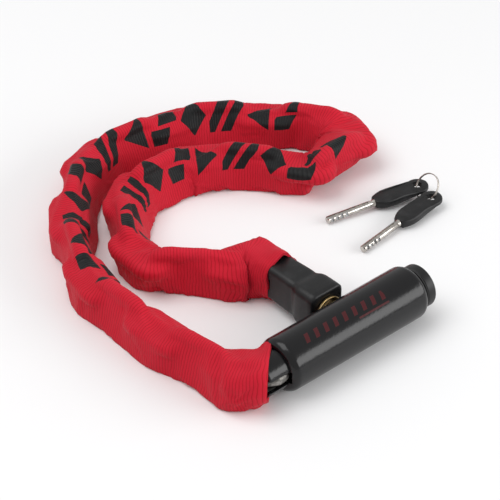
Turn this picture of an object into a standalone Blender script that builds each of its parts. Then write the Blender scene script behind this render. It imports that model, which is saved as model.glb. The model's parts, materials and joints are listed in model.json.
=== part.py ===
"""Chain lock: a cylinder lock body, a 25-link chain in a woven sleeve, a plug-in locking head and two keys.

Lengths are millimetres here, and MM turns them into Blender's metres. While it is modelled, +X runs along
the lock body from its chain end (x = 0) to its keyway, the head plugs in along -Y, and the table top is
z = 0. The last step moves everything so that the origin is the bottom centre of the box.

Joints: the key turns the plug about the body's axis, which throws the bolt along -X. The dust cover turns
on its rivet. The head slides out along +Y by HEAD_TRAVEL, and link_25 turns on the head's rivet while its
far end slides over the end of link_24. At each pair in FLEX_LINKS the chain bows to either side: the
upright link turns about the crossing before it, and the flat link after it turns the other way about the
crossing beyond it. The keys swing at their eyes on the ring.
"""

import math

import bmesh
import bpy
from mathutils import Matrix, Vector

MM = 0.001
GAP = 0.3  # between pieces that rest on each other

# Lock body
BODY_R = 17.0
BODY_LEN = 110.0
AXIS_Z = BODY_R
SHOULDER_R = 5.0
NECK_R = 12.6
NECK_LEN = 15.0
JACKET_T = 1.1
HOUSING_R = BODY_R - JACKET_T - GAP
HOUSING_NECK_R = NECK_R - JACKET_T - GAP
BEZEL_R = 13.7
BEZEL_END = BODY_LEN + 7.5
RECESS_R = 12.2
RECESS_DEPTH = 2.5
COVER_OFFSET = 4.4
COVER_R = 7.6
COVER_HOLE_DEG = 30.0
KEYWAY_R = 2.6
SCREW_X = 96.0
SCREW_R = 2.0

# Bores in the housing, from the keyway end inwards
CYLINDER_BORE_R = 10.3
CYLINDER_BORE_X = 76.0
SPRING_BORE_R = 4.8
BOLT_BORE_R = 2.6

# Disc cylinder
DISC_R = 5.0
DISC_T = 2.2
SPACER_R = 3.9
DISC_START = 88.0
DISC_PITCH = 3.3
DISC_COUNT = 5
SIDEBAR_END = 103.6
LUG_DEG = 20.0  # where the bolt's first lug rests on the cam
LUG_OFFSET = 3.5
CAM_DROP_DEG = 165.0

# Chain
WIRE = 7.0
WIRE_FLAT = 3.0
LINK_INNER = 34.0
LINK_GAP = 9.5
LINK_COUNT = 25
UPRIGHT_STEP = LINK_INNER + WIRE
CROWN_REACH = (LINK_GAP + 2 * WIRE) / 2 + 1.0
SLOT_H = WIRE + 1.2
PIN_R = 3.5
FLEX_LINKS = (4, 10)  # the upright link of each pair that flexes

# Sleeve
SLEEVE_HALF_W = 16.2
SLEEVE_HALF_H = 16.6
SLEEVE_FLARE = 4.8
FLARE_LEN = 60.0
BEND_SWELL = 2.4
BEND_REACH = 90.0
SLEEVE_T = 1.1
SLEEVE_SIDES = 12
SLEEVE_STEP = 10.0
CORNER_CUT = 0.18

# Locking head
HEAD_PIN_R = 6.5
HEAD_BORE_R = 6.8
HEAD_TRAVEL = 24.0
LINK_SWEEP = 9.0  # how much deeper the slot is on the side that the last link turns to
SWEEP_EDGE = 2.5  # how far past the middle that deeper part reaches
RIVET = (59.0, 81.0)
GROOVE = 2.8
GROOVE_R = 3.7
CLEVIS_HALF = (7.2, 9.2)
BOLT_R = 2.3
BOLT_TRAVEL = 2.6
SPRING_R = 3.55
SPRING_WIRE_R = 0.4

# The sleeve's own way from over the neck to the second crossing
NECK_ROUTE = [(3, 0), (-6, 0), (-16, 3), (-23, 13), (-27, 30)]

# The chain's route on the table, from the anchor pin to the crossing of its last two links
ROUTE = [
    (-5, 0), (-13, 8), (-22, 18), (-26, 34), (-28, 52), (-30, 88), (-31, 117), (-25, 146), (-17, 166),
    (-4, 187), (14, 209), (30, 224), (49, 234), (72, 238), (97, 235), (118, 231), (138, 224),
    (152, 213), (162, 203), (172, 192), (184, 181), (194, 169), (200, 157), (199, 144), (193, 133),
    (179, 126), (164, 124), (152, 129), (143, 142), (135, 158), (124, 171), (113, 182), (102, 191),
    (87, 196), (69, 196), (52, 193), (36, 183), (23, 168), (13, 151), (7, 137), (8, 124), (13, 116),
    (20, 107), (29, 99),
]

MATERIALS = {
    "vinyl_black": ((0.012, 0.012, 0.014), 0.18, 0.0),
    "boot_black": ((0.02, 0.02, 0.022), 0.55, 0.0),
    "sleeve_red": ((0.55, 0.02, 0.04), 0.85, 0.0),
    "chain_steel": ((0.22, 0.21, 0.2), 0.42, 1.0),
    "steel": ((0.5, 0.5, 0.5), 0.35, 1.0),
    "brass": ((0.7, 0.52, 0.28), 0.35, 1.0),
    "nickel": ((0.72, 0.7, 0.68), 0.22, 1.0),
    "rubber": ((0.03, 0.03, 0.03), 0.8, 0.0),
}


# ---------------------------------------------------------------- helpers
def material(name):
    """The Principled material of that name, made once."""
    found = bpy.data.materials.get(name)
    if found:
        return found
    colour, roughness, metallic = MATERIALS[name]
    made = bpy.data.materials.new(name)
    made.use_nodes = True
    shader = made.node_tree.nodes["Principled BSDF"]
    shader.inputs["Base Color"].default_value = (*colour, 1.0)
    shader.inputs["Roughness"].default_value = roughness
    shader.inputs["Metallic"].default_value = metallic
    made.diffuse_color = (*colour, 1.0)
    return made


def add(name, bm, slot, place=None, smooth=True):
    """Turns a bmesh in millimetres into an object in metres. place is its own matrix, in millimetres."""
    bmesh.ops.recalc_face_normals(bm, faces=bm.faces)
    bm.transform(Matrix.Scale(MM, 4))
    mesh = bpy.data.meshes.new(name)
    bm.to_mesh(mesh)
    bm.free()
    if smooth:
        mesh.shade_smooth()
        mesh.set_sharp_from_angle(angle=math.radians(35))
    mesh.materials.append(material(slot))
    obj = bpy.data.objects.new(name, mesh)
    bpy.context.scene.collection.objects.link(obj)
    if place is not None:
        obj.matrix_world = Matrix.Translation(place.translation * MM) @ place.to_3x3().to_4x4()
    return obj


def axis_empty(name, point, children):
    """An empty on a joint's axis, which carries the pieces that move about it."""
    empty = bpy.data.objects.new(name, None)
    empty.empty_display_size = 0.01
    empty.location = Vector(point) * MM
    bpy.context.scene.collection.objects.link(empty)
    bpy.context.view_layer.update()
    for child in children:
        child.parent = empty
        child.matrix_parent_inverse = empty.matrix_world.inverted()
    return empty


def turned(profile, sides=24, closed=False, start_deg=0.0):
    """Turns (x, r) points round the X axis. A closed profile makes a ring."""
    bm = bmesh.new()
    rings = []
    for x, r in profile:
        if r == 0:
            rings.append([bm.verts.new((x, 0, 0))])
            continue
        turn = [math.radians(start_deg) + 2 * math.pi * i / sides for i in range(sides)]
        rings.append([bm.verts.new((x, r * math.cos(a), r * math.sin(a))) for a in turn])
    pairs = list(zip(rings, rings[1:]))
    if closed:
        pairs.append((rings[-1], rings[0]))
    for near, far in pairs:
        for i in range(sides):
            k = (i + 1) % sides
            corner = [near[i % len(near)], near[k % len(near)], far[k % len(far)], far[i % len(far)]]
            bm.faces.new(list(dict.fromkeys(corner)))
    return bm


def ring(x0, x1, r_in, r_out, sides=24):
    """A plain tube along X."""
    return turned([(x0, r_in), (x0, r_out), (x1, r_out), (x1, r_in)], sides, closed=True)


def rod(x0, x1, r, sides=24, chamfer=0.0):
    """A solid round bar along X, with both ends chamfered."""
    c = chamfer
    ends = [(x0, 0), (x0, r - c), (x0 + c, r), (x1 - c, r), (x1, r - c), (x1, 0)]
    return turned(ends if c else [(x0, 0), (x0, r), (x1, r), (x1, 0)], sides)


def box(low, high):
    """A plain box between two corners."""
    bm = bmesh.new()
    bmesh.ops.create_cube(bm, size=1.0)
    size = Vector(high) - Vector(low)
    bm.transform(Matrix.Translation((Vector(high) + Vector(low)) / 2) @ Matrix.Diagonal((*size, 1)))
    return bm


def cut(obj, name, bm, place=None):
    """Cuts a shape out of obj with an exact Boolean."""
    cutter = add(name, bm, "steel", place, smooth=False)
    cutter.hide_render = True
    cutter.display_type = "WIRE"
    step = obj.modifiers.new(name, "BOOLEAN")
    step.operation = "DIFFERENCE"
    step.solver = "EXACT"
    step.object = cutter
    return obj


def lofted(sections):
    """A closed solid through loops of the same number of points, with flat ends."""
    bm = bmesh.new()
    loops = [[bm.verts.new(p) for p in loop] for loop in sections]
    count = len(loops[0])
    for near, far in zip(loops, loops[1:]):
        for i in range(count):
            k = (i + 1) % count
            bm.faces.new([near[i], near[k], far[k], far[i]])
    bm.faces.new(loops[0][::-1])
    bm.faces.new(loops[-1])
    return bm


def rounded_rectangle(half_w, half_h, radius, steps=3):
    """Corner-rounded rectangle as (across, up) points, counterclockwise."""
    points = []
    for corner, (sx, sy) in enumerate(((1, 1), (-1, 1), (-1, -1), (1, -1))):
        for i in range(steps + 1):
            a = math.radians(90 * corner + 90 * i / steps)
            corner_point = (sx * (half_w - radius), sy * (half_h - radius))
            points.append((corner_point[0] + radius * math.cos(a), corner_point[1] + radius * math.sin(a)))
    return points


def along_x(x=0.0, y=0.0, z=AXIS_Z):
    return Matrix.Translation((x, y, z))


def along_y(x, z=AXIS_Z):
    """Turns X-wise shapes to run along +Y, through (x, 0, z)."""
    return Matrix.Translation((x, 0, z)) @ Matrix.Rotation(math.pi / 2, 4, "Z")


def along_z(x, y, z=0.0):
    """Turns X-wise shapes to run along +Z, through (x, y, z)."""
    return Matrix.Translation((x, y, z)) @ Matrix.Rotation(-math.pi / 2, 4, "Y")


# ---------------------------------------------------------------- chain
def smooth_route(points, per_span=12):
    """A Catmull-Rom curve through the route's points."""
    p = [Vector(q) for q in points]
    p = [2 * p[0] - p[1], *p, 2 * p[-1] - p[-2]]
    curve = []
    for a, b, c, d in zip(p, p[1:], p[2:], p[3:]):
        for i in range(per_span):
            t = i / per_span
            square, cube = 2 * a - 5 * b + 4 * c - d, 3 * b - a - 3 * c + d
            curve.append(0.5 * (2 * b + (c - a) * t + square * t**2 + cube * t**3))
    return [*curve, p[-2]]


def walk(curve, flat_step):
    """The chain's crossings from the anchor pin on, and how much of the curve is left after the last one."""
    crossings = [curve[0]]
    at = 0
    for number in range(1, LINK_COUNT):
        step = flat_step if number % 2 else UPRIGHT_STEP
        here = crossings[-1]
        while at + 2 < len(curve) and (curve[at + 1] - here).length < step:
            at += 1
        low, high = 0.0, 1.0
        for _ in range(40):
            mid = (low + high) / 2
            short = (curve[at].lerp(curve[at + 1], mid) - here).length < step
            low, high = (mid, high) if short else (low, mid)
        crossings.append(curve[at].lerp(curve[at + 1], low))
    return crossings, (curve[-1] - crossings[-1]).length


def chain_crossings():
    """Where neighbouring links cross. A flat link's two crossings lie flat_step apart, which is solved."""
    rivet = Vector(RIVET)
    tight = LINK_INNER - LINK_GAP
    low, high = tight - 4.0, tight + 0.9
    for _ in range(40):
        flat_step = (low + high) / 2
        across = math.sqrt(flat_step**2 - (HEAD_TRAVEL / 2) ** 2)
        last = rivet + Vector((-across, HEAD_TRAVEL / 2))
        crossings, left = walk(smooth_route([*ROUTE, last]), flat_step)
        low, high = (flat_step, high) if left > 0.02 else (low, flat_step)
    return [*crossings[:-1], last, rivet]


def link_shape():
    """One link in its own plane: a bar of square section with bevelled corners, bent into a racetrack."""
    half, flat = WIRE / 2, WIRE_FLAT / 2
    section = [(half, flat), (flat, half), (-flat, half), (-half, flat)]
    section += [(-u, -v) for u, v in section]
    bend = (LINK_GAP + WIRE) / 2
    straight = (LINK_INNER - LINK_GAP) / 2
    bends = 5
    bm = bmesh.new()
    loops = []
    for side in (1, -1):
        for i in range(bends + 1):
            a = math.radians(-90 + 180 * i / bends) + (0 if side > 0 else math.pi)
            outward = Vector((math.cos(a), math.sin(a), 0))
            centre = Vector((side * straight, 0, 0)) + bend * outward
            loops.append([bm.verts.new(centre + u * outward + Vector((0, 0, v))) for u, v in section])
    for near, far in zip(loops, loops[1:] + loops[:1]):
        for i in range(len(section)):
            k = (i + 1) % len(section)
            bm.faces.new([near[i], near[k], far[k], far[i]])
    return bm


def build_chain(crossings):
    """The links by number: odd ones lie flat, even ones stand upright."""
    links = {}
    for number, (a, b) in enumerate(zip(crossings, crossings[1:]), start=1):
        middle = (a + b) / 2
        heading = math.atan2(b.y - a.y, b.x - a.x)
        place = Matrix.Translation((middle.x, middle.y, AXIS_Z)) @ Matrix.Rotation(heading, 4, "Z")
        if number % 2 == 0:
            place = place @ Matrix.Rotation(math.pi / 2, 4, "X")
        links[number] = add(f"link_{number:02d}", link_shape(), "chain_steel", place)
    return links


def chain_axes(links, crossings):
    """Empties on the axes of the links that swing."""
    for upright in FLEX_LINKS:
        near, far = crossings[upright - 1], crossings[upright + 1]
        axis_empty(f"link_{upright:02d}_axis", (near.x, near.y, AXIS_Z), [links[upright]])
        axis_empty(f"link_{upright + 1:02d}_axis", (far.x, far.y, AXIS_Z), [links[upright + 1]])
    axis_empty("end_link_axis", (*RIVET, AXIS_Z), [links[LINK_COUNT]])


# ---------------------------------------------------------------- sleeve
def sleeve_line(crossings):
    """The sleeve's centre line: the chain's crossings, run on over the neck and the head, then rounded."""
    x, y = RIVET
    start = [Vector(p) for p in NECK_ROUTE]
    line = [*start, *crossings[2:-1], Vector((x + 1, y + 6)), Vector((x + 1, y - 22))]
    for _ in range(3):
        rounded = [line[0]]
        for a, b in zip(line, line[1:]):
            rounded += [a.lerp(b, CORNER_CUT), b.lerp(a, CORNER_CUT)]
        line = [*rounded, line[-1]]
    return line


def nearest_along(line, point):
    """How far along the line a point lies."""
    best, travelled, where = 1e9, 0.0, 0.0
    for a, b in zip(line, line[1:]):
        d = b - a
        t = max(0.0, min(1.0, (point - a).dot(d) / d.length_squared))
        off = (a + t * d - point).length
        if off < best:
            best, where = off, travelled + t * d.length
        travelled += d.length
    return where


def at_distance(line, distance):
    """The point that far along the line."""
    for a, b in zip(line, line[1:]):
        d = (b - a).length
        if distance <= d:
            return a.lerp(b, distance / d)
        distance -= d
    return line[-1]


def swell(distance, amount, reach):
    """A smooth swelling of that amount, which dies away over its reach."""
    t = max(0.0, 1 - abs(distance) / reach)
    return amount * t * t * (3 - 2 * t)


def half_width(s, mouths, bend):
    """The sleeve's half width at distance s: wider at its two mouths and round its sharpest bend."""
    flare = sum(swell(s - mouth, SLEEVE_FLARE, FLARE_LEN) for mouth in mouths)
    return SLEEVE_HALF_W + flare + swell(s - bend, BEND_SWELL, BEND_REACH)


def sleeve_piece(name, line, start, end, mouths, bend):
    """A hollow oval tube along part of the centre line."""
    count = max(2, round((end - start) / SLEEVE_STEP))
    turn = [2 * math.pi * i / SLEEVE_SIDES for i in range(SLEEVE_SIDES)]
    bm = bmesh.new()
    outer, inner = [], []
    for i in range(count + 1):
        s = start + (end - start) * i / count
        here = at_distance(line, s)
        forward = (at_distance(line, s + 2) - at_distance(line, s - 2)).normalized()
        across = Vector((-forward.y, forward.x, 0))
        half_w = half_width(s, mouths, bend)
        for wall, inset in ((outer, 0.0), (inner, SLEEVE_T)):
            wall.append([
                bm.verts.new(
                    Vector((here.x, here.y, SLEEVE_HALF_H))
                    + across * (half_w - inset) * math.cos(a)
                    + Vector((0, 0, (SLEEVE_HALF_H - inset) * math.sin(a)))
                )
                for a in turn
            ])
    strips = [*zip(outer, outer[1:]), *zip(inner, inner[1:]), (outer[0], inner[0]), (outer[-1], inner[-1])]
    for near, far in strips:
        for i in range(SLEEVE_SIDES):
            k = (i + 1) % SLEEVE_SIDES
            bm.faces.new([near[i], near[k], far[k], far[i]])
    add(name, bm, "sleeve_red")


def build_sleeve(crossings):
    """The sleeve in pieces, which part where the chain flexes and where the end link swings."""
    line = sleeve_line(crossings)
    at = [nearest_along(line, p) for p in crossings]
    mouths = [nearest_along(line, Vector(p)) for p in ((-6.5, 0), (RIVET[0], RIVET[1] - 8))]
    first, second = FLEX_LINKS
    cuts = [
        ("sleeve_lock_end", mouths[0], at[first - 1]),
        ("sleeve_flex_1", at[first - 1], at[first + 1]),
        ("sleeve_side", at[first + 1], at[second - 1]),
        ("sleeve_flex_2", at[second - 1], at[second + 1]),
        ("sleeve_shoulder", at[second + 1], at[14]),
        ("sleeve_tip", at[14], at[18]),
        ("sleeve_inner", at[18], at[23]),
        ("sleeve_head_end", at[23], mouths[1]),
    ]
    for name, start, end in cuts:
        sleeve_piece(name, line, start + GAP / 2, end - GAP / 2, mouths, (at[14] + at[15]) / 2)


# ---------------------------------------------------------------- lock body
def shoulder(x_flat, direction, r_low, r_high, radius, steps=4):
    """(x, r) points of a rounded shoulder from the end face up to the full radius."""
    points = [(x_flat, r_low)]
    for i in range(steps + 1):
        a = math.pi / 2 * i / steps
        x = x_flat + direction * radius * (1 - math.cos(a))
        points.append((x, r_high - radius + radius * math.sin(a)))
    return points


def neck_slot():
    """The slot that the first link lies in."""
    inner_end = ROUTE[0][0] + CROWN_REACH
    return box((-NECK_LEN - 2, -NECK_R - 1, -SLOT_H / 2), (inner_end, NECK_R + 1, SLOT_H / 2))


def build_housing(bore_x):
    """The steel housing with its bores, the glossy vinyl jacket, the chain's anchor pin and a screw."""
    anchor = Vector(ROUTE[0])
    r = HOUSING_R
    end, spring_seat = BODY_LEN - 1.6, bore_x + 9
    profile = [(-NECK_LEN, 0), (-NECK_LEN, HOUSING_NECK_R - 1), (-NECK_LEN + 1, HOUSING_NECK_R),
               (1.4, HOUSING_NECK_R), (1.4, r - 3.6), (2.5, r - 1.2), (5, r), (end - 2.6, r), (end, r - 2.6),
               (end, CYLINDER_BORE_R), (CYLINDER_BORE_X, CYLINDER_BORE_R), (CYLINDER_BORE_X, SPRING_BORE_R),
               (spring_seat, SPRING_BORE_R), (spring_seat, BOLT_BORE_R), (bore_x, BOLT_BORE_R), (bore_x, 0)]
    housing = add("body_housing", turned(profile, 28), "steel", along_x())
    cut(housing, "cut_head_bore", rod(-10, 20, HEAD_BORE_R, 20), along_y(bore_x))
    cut(housing, "cut_neck_slot", neck_slot(), along_x())
    cut(housing, "cut_anchor_hole", rod(-20, 20, PIN_R + GAP, 16), along_z(anchor.x, anchor.y, AXIS_Z))
    cut(housing, "cut_screw_hole", rod(-20, -5, SCREW_R + GAP, 12), along_z(SCREW_X, 0, AXIS_Z))

    inner = BODY_R - JACKET_T
    outline = [(-NECK_LEN, NECK_R - JACKET_T), (-NECK_LEN, NECK_R - 0.8), (-NECK_LEN + 0.8, NECK_R),
               (-0.6, NECK_R)]
    outline += shoulder(0, 1, NECK_R, BODY_R, SHOULDER_R)[1:]
    outline += shoulder(BODY_LEN, -1, 12.0, BODY_R, SHOULDER_R)[::-1]
    outline += [(BODY_LEN - 1.3, 12.0), (BODY_LEN - 1.3, inner - 2.6), (BODY_LEN - 3.9, inner), (4.9, inner),
                (2.2, inner - 1.1), (1.1, inner - 3.4), (1.1, NECK_R - JACKET_T)]
    jacket = add("vinyl_jacket", turned(outline, 36, closed=True), "vinyl_black", along_x())
    cut(jacket, "cut_jacket_bore", rod(2, 24, HEAD_BORE_R + 0.8, 20), along_y(bore_x))
    cut(jacket, "cut_jacket_slot", neck_slot(), along_x())

    half = HOUSING_NECK_R - 0.9
    add("anchor_pin", rod(-half, half, PIN_R, 16, 0.6), "steel", along_z(anchor.x, anchor.y, AXIS_Z))
    add("cylinder_screw", rod(-15.3, -10.6, SCREW_R, 10, 0.4), "steel", along_z(SCREW_X, 0, AXIS_Z))


def build_bezel():
    face = BEZEL_END
    floor = face - RECESS_DEPTH
    back = BODY_LEN + 1.3
    outline = [(BODY_LEN - 1.2, 3.2), (BODY_LEN - 1.2, 11.7), (back, 11.7), (back, BEZEL_R - 0.5),
               (back + 0.5, BEZEL_R), (face - 0.4, BEZEL_R), (face, BEZEL_R - 0.4), (face, RECESS_R),
               (floor, RECESS_R), (floor, 3.2)]
    bezel = add("keyway_bezel", turned(outline, 32, closed=True), "boot_black", along_x())
    pivot = along_x(0, 0, AXIS_Z + COVER_OFFSET)
    cut(bezel, "cut_cover_rivet", rod(back - 1, face, 1.5, 12), pivot)
    seal = ring(BODY_LEN + GAP, back - GAP, 12.1, BEZEL_R + 0.2, 32)
    add("bezel_seal", seal, "rubber", along_x())

    cover = add("dust_cover", ring(floor + GAP, floor + 1.7, 1.5, COVER_R, 28), "boot_black", pivot)
    turn = math.radians(COVER_HOLE_DEG)
    hole = along_x(0, COVER_OFFSET * math.cos(turn), AXIS_Z + COVER_OFFSET + COVER_OFFSET * math.sin(turn))
    cut(cover, "cut_cover_hole", rod(floor - 1, face, 3.1, 16), hole)
    rivet = [(back + 0.4, 0), (back + 0.4, 1.2), (floor + 2.0, 1.2), (floor + 2.0, 2.2), (floor + 2.35, 1.9),
             (floor + 2.35, 0)]
    add("cover_rivet", turned(rivet, 12), "steel", pivot)


def cam_ramp(angle_deg):
    """The face cam's height at an angle: two equal ramps, each a quarter turn long, then a drop."""
    a = angle_deg % 180
    return BOLT_TRAVEL * max(0.0, min(1.0, (a - LUG_DEG) / 90)) if a < CAM_DROP_DEG else 0.0


def build_cylinder():
    """The disc cylinder: a brass shell, the plug that the key turns, its discs, sidebar, cam and clip."""
    shell_end = BODY_LEN - 2.1
    add("cylinder_shell", ring(85.4, shell_end, 7.3, 10.0, 24), "brass", along_x())
    plug_end = BODY_LEN - 2.4
    plug_profile = [(79.0, 0), (79.0, 2.0), (85.8, 2.0), (85.8, 7.0), (plug_end, 7.0), (plug_end, 5.3),
                    (87.6, 5.3), (87.6, 0)]
    plug = add("cylinder_plug", turned(plug_profile, 20), "brass", along_x())
    cut(plug, "cut_sidebar_slot", box((88, -1.0, 3), (104, 1.0, 9)), along_x())

    stack = [(DISC_START, KEYWAY_R)]
    for i in range(DISC_COUNT):
        x = DISC_START + DISC_PITCH * i
        stack += [(x, DISC_R), (x + DISC_T, DISC_R), (x + DISC_T, SPACER_R), (x + DISC_PITCH, SPACER_R)]
    stack[-2:] = [(DISC_START + DISC_PITCH * (DISC_COUNT - 1) + DISC_T, KEYWAY_R)]
    discs = add("disc_pack", turned(stack, 16, closed=True, start_deg=11.25), "brass", along_x())
    cut(discs, "cut_gates", box((DISC_START - 1, -0.9, 4.0), (SIDEBAR_END + 1, 0.9, 6)), along_x())
    add("guard_disc", ring(104.4, 107.2, KEYWAY_R, DISC_R, 16), "steel", along_x())
    add("sidebar", box((88.4, -0.6, 4.3), (SIDEBAR_END, 0.6, 6.8)), "steel", along_x(), smooth=False)

    bm = bmesh.new()
    sides = 36
    loops = []
    for i in range(sides):
        a = 360 * i / sides
        c, s = math.cos(math.radians(a)), math.sin(math.radians(a))
        front = 80.2 - cam_ramp(a)
        corners = [(front, 5.6), (front, 2.3), (82.0, 2.3), (82.0, 5.6)]
        loops.append([bm.verts.new((x, r * c, r * s)) for x, r in corners])
    for near, far in zip(loops, loops[1:] + loops[:1]):
        for i in range(4):
            k = (i + 1) % 4
            bm.faces.new([near[i], near[k], far[k], far[i]])
    add("tail_cam", bm, "steel", along_x())

    clip = []
    for i in range(11):
        a = math.radians(40 + 280 * i / 10)
        section = ((82.4, 2.3), (82.4, 4.6), (83.1, 4.6), (83.1, 2.3))
        clip.append([(x, r * math.cos(a), r * math.sin(a)) for x, r in section])
    add("plug_clip", lofted(clip), "steel", along_x())


def build_bolt(bore_x):
    """The bolt, its two lugs that ride on the face cam, and the coil spring that draws it back."""
    tip = bore_x + HEAD_PIN_R + 0.6
    flange = 73.2
    profile = [(tip, 0), (tip, 1.8), (tip + 0.5, BOLT_R), (flange, BOLT_R), (flange, 4.4), (flange + 2, 4.4),
               (flange + 2, 0)]
    bolt = add("locking_bolt", turned(profile, 16), "steel", along_x())
    for side in (0, 180):
        a = math.radians(LUG_DEG + side)
        lug = rod(flange + 1, 79.7, 0.7, 8)
        step = bolt.modifiers.new(f"lug_{side}", "BOOLEAN")
        step.operation = "UNION"
        step.solver = "EXACT"
        place = along_x(0, LUG_OFFSET * math.cos(a), AXIS_Z + LUG_OFFSET * math.sin(a))
        step.object = add(f"add_lug_{side}", lug, "steel", place)
        step.object.hide_render = True
        step.object.display_type = "WIRE"
    spring_start, spring_end, turns, per_turn = bore_x + 9.8, flange - 0.7, 4, 10
    coil = []
    for i in range(turns * per_turn + 1):
        a = 2 * math.pi * i / per_turn
        x = spring_start + (spring_end - spring_start) * i / (turns * per_turn)
        outward, forward = Vector((0, math.cos(a), math.sin(a))), Vector((1, 0, 0))
        middle = x * forward + SPRING_R * outward
        coil.append([middle + SPRING_WIRE_R * (math.cos(b) * outward + math.sin(b) * forward)
                     for b in (math.pi * j / 2.5 for j in range(5))])
    add("bolt_spring", lofted(coil), "steel", along_x())


# ---------------------------------------------------------------- head
def build_head():
    """The plug-in head: grooved pin, washer, clevis, moulded boot and the rivet that holds the last link."""
    rivet = Vector(RIVET)
    x, end = rivet.x, rivet.y + 8
    pin = [(-7, 0), (-7, 4.8), (-5.3, HEAD_PIN_R), (-GROOVE, HEAD_PIN_R), (-GROOVE, GROOVE_R),
           (GROOVE, GROOVE_R), (GROOVE, HEAD_PIN_R), (30, HEAD_PIN_R), (30, 0)]
    add("locking_pin", turned(pin, 20), "nickel", along_y(x))
    add("head_washer", ring(17.5, 19.3, HEAD_PIN_R + GAP, 9.6, 24), "brass", along_y(x))

    slot_start = rivet.y - CROWN_REACH
    core_section = rounded_rectangle(*CLEVIS_HALF, 2.0, 2)
    core_shape = [[(u, y, v) for u, v in core_section] for y in (22.2, end)]
    core = add("head_clevis", lofted(core_shape), "steel", along_x(x))
    cut(core, "cut_pin_hole", rod(15, 30.4, HEAD_PIN_R + GAP, 20), along_y(x))
    link_slot = ((-20, slot_start, -SLOT_H / 2), (20, end + 5, SLOT_H / 2))
    turning_slot = ((-20, slot_start - LINK_SWEEP, -SLOT_H / 2), (SWEEP_EDGE, end, SLOT_H / 2))
    cut(core, "cut_clevis_slot", box(*link_slot), along_x(x))
    cut(core, "cut_clevis_turning_slot", box(*turning_slot), along_x(x))
    cut(core, "cut_rivet_hole", rod(-20, 20, PIN_R + GAP, 16), along_z(rivet.x, rivet.y, AXIS_Z))
    add("head_rivet", rod(-8.6, 8.6, PIN_R, 16, 0.6), "steel", along_z(rivet.x, rivet.y, AXIS_Z))

    sections = [(19.7, 11.6, 12.6, 4.0), (20.7, 12.8, 13.8, 4.5), (34.0, 12.8, 13.8, 4.5),
                (37.0, 12.0, 13.4, 4.5), (40.0, 10.4, 12.4, 4.0), (44.0, 9.9, 12.0, 3.5),
                (end - 1.5, 9.7, 11.8, 3.5)]
    shell = [[(u, y, v) for u, v in rounded_rectangle(w, h, r)] for y, w, h, r in sections]
    boot = add("head_boot", lofted(shell), "boot_black", along_x(x))
    hollow_section = rounded_rectangle(*(half + GAP for half in CLEVIS_HALF), 2.0, 2)
    hollow = [[(u, y, v) for u, v in hollow_section] for y in (22.2 - GAP, end + 3)]
    cut(boot, "cut_boot_hollow", lofted(hollow), along_x(x))
    cut(boot, "cut_boot_hole", rod(15, 24, HEAD_PIN_R + GAP, 20), along_y(x))
    cut(boot, "cut_boot_slot", box(*link_slot), along_x(x))
    cut(boot, "cut_boot_turning_slot", box(*turning_slot), along_x(x))


# ---------------------------------------------------------------- keys
EYE_A = Vector((199.5, 84.0, 5.6))
EYE_B = Vector((196.5, 68.4, 5.6))
HEADING_A = 167.0
HEADING_B = 185.5
KEY_LEN = 66.0
BLADE_R = 2.4
EYE_R = 3.1
RING_R = 9.0
RING_WIRE_R = 0.33
RING_LEAN_DEG = 55.0


def bow_outline():
    """Half of the bow's outline as (along, half width), from behind the eye to where the blade leaves."""
    shape = []
    for i in range(6):
        a = math.radians(180 - 18 * i)
        shape.append((7.5 * math.cos(a), 7.5 * math.sin(a)))
    shape += [(6.0, 7.4), (13.0, 7.0), (20.0, 7.3), (26.0, 6.6), (30.5, 4.9), (32.5, 3.4)]
    return shape


def build_key(number, eye, heading_deg):
    """A key that lies on the table: its bow, thinner round the eye, and its blade with a groove and cuts."""
    drop = math.atan2(eye.z - 2.6, KEY_LEN)
    place = (Matrix.Translation(eye) @ Matrix.Rotation(math.radians(heading_deg), 4, "Z")
             @ Matrix.Rotation(drop, 4, "Y"))
    upper = bow_outline()
    outline = upper + [(x, -w) for x, w in reversed(upper[1:])]
    half_t = 2.8
    layers = [(-half_t, 0.93), (-half_t + 0.7, 1.0), (half_t - 0.7, 1.0), (half_t, 0.93)]
    bow = lofted([[(13 + (x - 13) * k, w * k, z) for x, w in outline[::-1]] for z, k in layers])
    bow = add(f"key_{number}_bow", bow, "boot_black", place)
    for side in (-1, 1):
        low, high = sorted((side * 1.6, side * 5))
        cut(bow, f"cut_eye_step_{number}_{side}", box((-12, -12, low), (5.5, 12, high)), place)
    cut(bow, f"cut_eye_{number}", rod(-8, 8, EYE_R, 16), place @ Matrix.Rotation(-math.pi / 2, 4, "Y"))
    cut(bow, f"cut_blade_hole_{number}", rod(24, 40, BLADE_R + GAP, 12), place)
    blade = add(f"key_{number}_blade", rod(24.4, KEY_LEN + 1.5, BLADE_R, 14, 0.5), "nickel", place)
    cut(blade, f"cut_groove_{number}", box((33.5, -0.55, 1.5), (KEY_LEN + 4, 0.55, 4)), place)
    for i, depth in enumerate((0.7, 1.1, 0.5)):
        for side in (-1, 1):
            low, high = sorted((side * (BLADE_R - depth), side * 4))
            start = 54.5 + 4.2 * i
            cut(blade, f"cut_bit_{number}_{i}_{side}", box((start, low, -4), (start + 2.0, high, 4)), place)


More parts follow.
